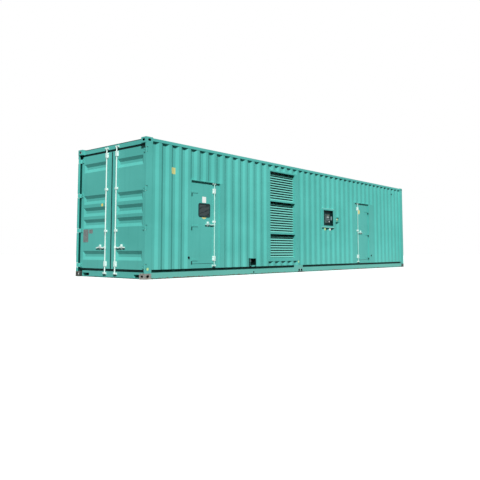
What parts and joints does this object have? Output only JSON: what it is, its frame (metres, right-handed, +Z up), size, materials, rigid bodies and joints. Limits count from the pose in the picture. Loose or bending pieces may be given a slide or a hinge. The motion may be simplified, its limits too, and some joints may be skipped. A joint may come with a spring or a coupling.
{
  "type": "containerised generator set",
  "caption": "Silent generator set in a ribbed steel housing, with cargo doors, service doors, intake louvres and a control recess.",
  "frame": {"origin": "centre of the base, on the ground", "axes": "+X runs along the housing away from the cargo doors, -Y is the side with the service doors and the controls, +Z is up"},
  "size_m": [12.192, 2.438, 2.896],
  "materials": {
    "housing_paint": "semi-gloss turquoise paint",
    "door_paint": "semi-gloss turquoise paint",
    "bare_casting": "worn grey steel castings",
    "zinc": "bright zinc-plated lock gear",
    "seal_rubber": "black door seals and stops",
    "panel_black": "black control panel",
    "dark_glass": "dark viewing pane",
    "floor_steel": "dark chequer floor",
    "instrument_grey": "grey instruments and caps",
    "stop_yellow": "yellow stop unit",
    "stop_red": "red mushroom button"
  },
  "bodies": {
    "housing": {"back_louvre_bank": "housing_paint", "back_wall_panels": "housing_paint", "bottom_castings": "bare_casting", "bottom_side_rails": "housing_paint", "cam_keepers": "zinc", "control_instruments": "instrument_grey", "control_panel": "panel_black", "control_recess": "housing_paint", "cross_members": "housing_paint", "door_end_posts": "housing_paint", "door_header": "housing_paint", "door_sill": "housing_paint", "door_stops": "seal_rubber", "far_end_frame": "housing_paint", "far_end_wall": "housing_paint", "filler_cap": "instrument_grey", "filler_recess": "housing_paint", "floor": "floor_steel", "hinge_pins": "zinc", "mid_castings": "bare_casting", "near_louvre_bank": "housing_paint", "near_wall_panels": "housing_paint", "roof": "housing_paint", "side_door_frames": "housing_paint", "side_hinge_brackets": "housing_paint", "stop_box": "housing_paint", "stop_button": "stop_red", "stop_unit": "stop_yellow", "top_castings": "housing_paint", "top_side_rails": "housing_paint"},
    "cargo_door_left": {"cargo_door_left": "door_paint", "cargo_guides_left": "zinc", "cargo_seal_left": "seal_rubber"},
    "cargo_door_right": {"cargo_door_right": "door_paint", "cargo_guides_right": "zinc", "cargo_seal_right": "seal_rubber"},
    "cargo_lock_left": {"cargo_lock_left": "zinc"},
    "cargo_lock_right": {"cargo_lock_right": "zinc"},
    "side_door_1": {"side_door_1": "door_paint", "side_door_glass": "dark_glass", "side_guides_1": "zinc"},
    "side_door_2": {"side_door_2": "door_paint", "side_guides_2": "zinc"},
    "side_lock_1": {"side_lock_1": "zinc"},
    "side_lock_2": {"side_lock_2": "zinc"}
  },
  "joints": [
    {"name": "cargo_door_left_hinge", "type": "hinge", "parent": "housing", "child": "cargo_door_left", "pos_m": [-6.08, 1.203, 1.45], "axis": [0, 0, -1], "range_deg": [0, 270]},
    {"name": "cargo_door_right_hinge", "type": "hinge", "parent": "housing", "child": "cargo_door_right", "pos_m": [-6.08, -1.203, 1.45], "axis": [0, 0, 1], "range_deg": [0, 270]},
    {"name": "cargo_lock_left_turn", "type": "hinge", "parent": "cargo_door_left", "child": "cargo_lock_left", "pos_m": [-6.048, 0.178, 1.45], "axis": [0, 0, -1], "range_deg": [-100, 0]},
    {"name": "cargo_lock_right_turn", "type": "hinge", "parent": "cargo_door_right", "child": "cargo_lock_right", "pos_m": [-6.048, -0.178, 1.45], "axis": [0, 0, 1], "range_deg": [-100, 0]},
    {"name": "side_door_1_hinge", "type": "hinge", "parent": "housing", "child": "side_door_1", "pos_m": [-4.764, -1.19, 1.19], "axis": [0, 0, 1], "range_deg": [-170, 0]},
    {"name": "side_door_2_hinge", "type": "hinge", "parent": "housing", "child": "side_door_2", "pos_m": [3.419, -1.19, 1.19], "axis": [0, 0, -1], "range_deg": [-170, 0]},
    {"name": "side_lock_1_turn", "type": "hinge", "parent": "side_door_1", "child": "side_lock_1", "pos_m": [-4.052, -1.193, 1.17], "axis": [0, 0, 1], "range_deg": [0, 100]},
    {"name": "side_lock_2_turn", "type": "hinge", "parent": "side_door_2", "child": "side_lock_2", "pos_m": [2.707, -1.193, 1.17], "axis": [0, 0, -1], "range_deg": [0, 100]}
  ]
}
